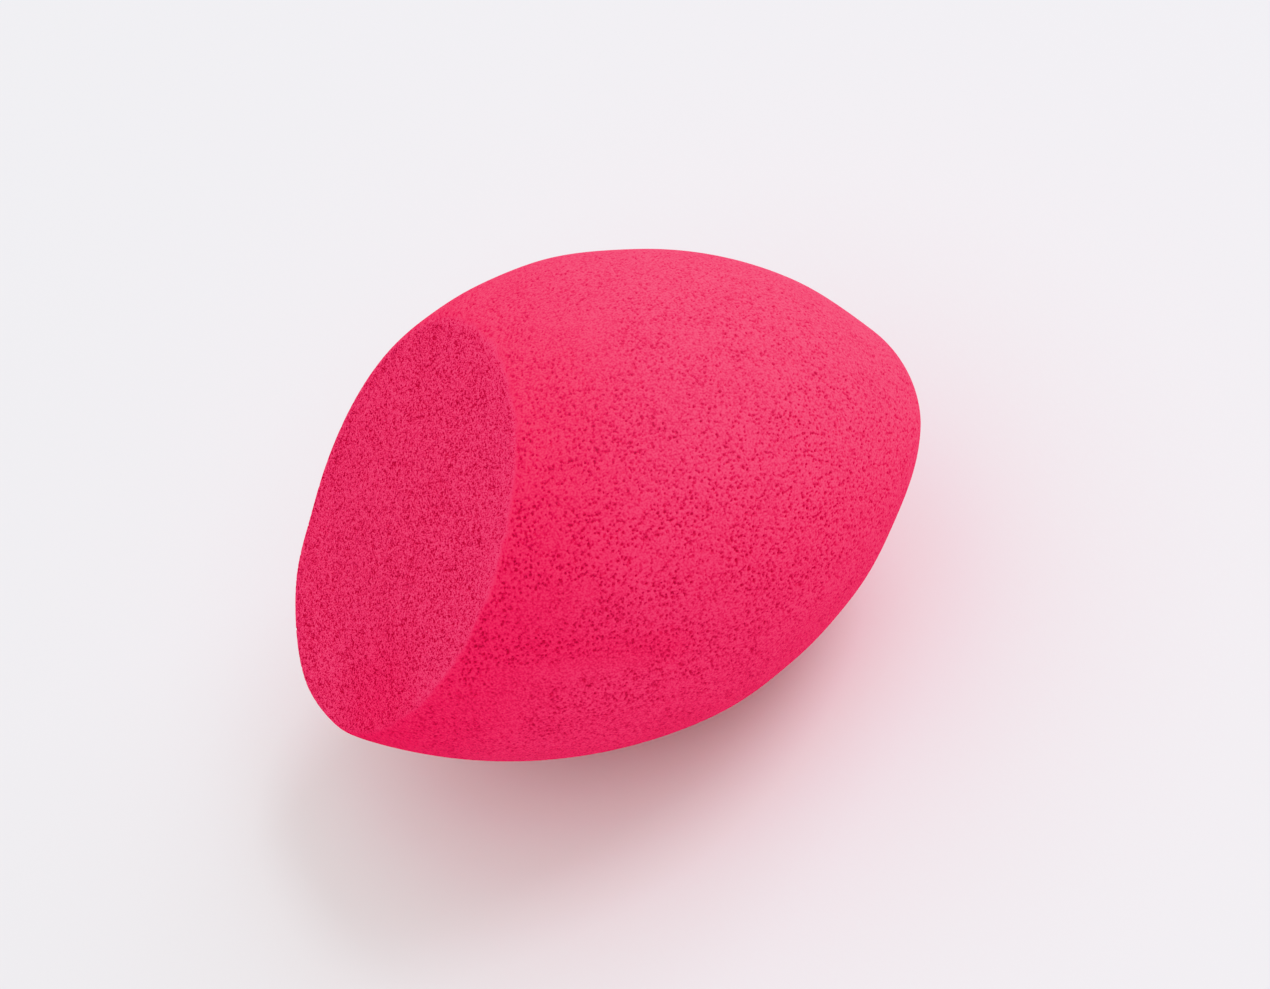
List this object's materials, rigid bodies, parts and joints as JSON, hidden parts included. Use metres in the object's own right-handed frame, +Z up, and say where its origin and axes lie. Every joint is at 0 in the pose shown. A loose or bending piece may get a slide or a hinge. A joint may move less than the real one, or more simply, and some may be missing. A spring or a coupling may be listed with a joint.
{
  "type": "makeup sponge",
  "caption": "Egg-shaped foam makeup sponge with a slanted flat cut across its blunt end, lying on its side.",
  "frame": {"origin": "on the surface that the sponge lies on, under the middle of its bounding box", "axes": "+X towards the tip, +Z up, +Y to the left seen from behind the cut; the shape is the same on both sides of the plane Y = 0"},
  "size_m": [0.0592, 0.042, 0.0416],
  "materials": {
    "foam": "hot pink soft polyurethane foam, fully matte, with fine open pores; finer and a little darker on the cut face"
  },
  "bodies": {
    "root": {"sponge_body": "foam"}
  },
  "joints": []
}
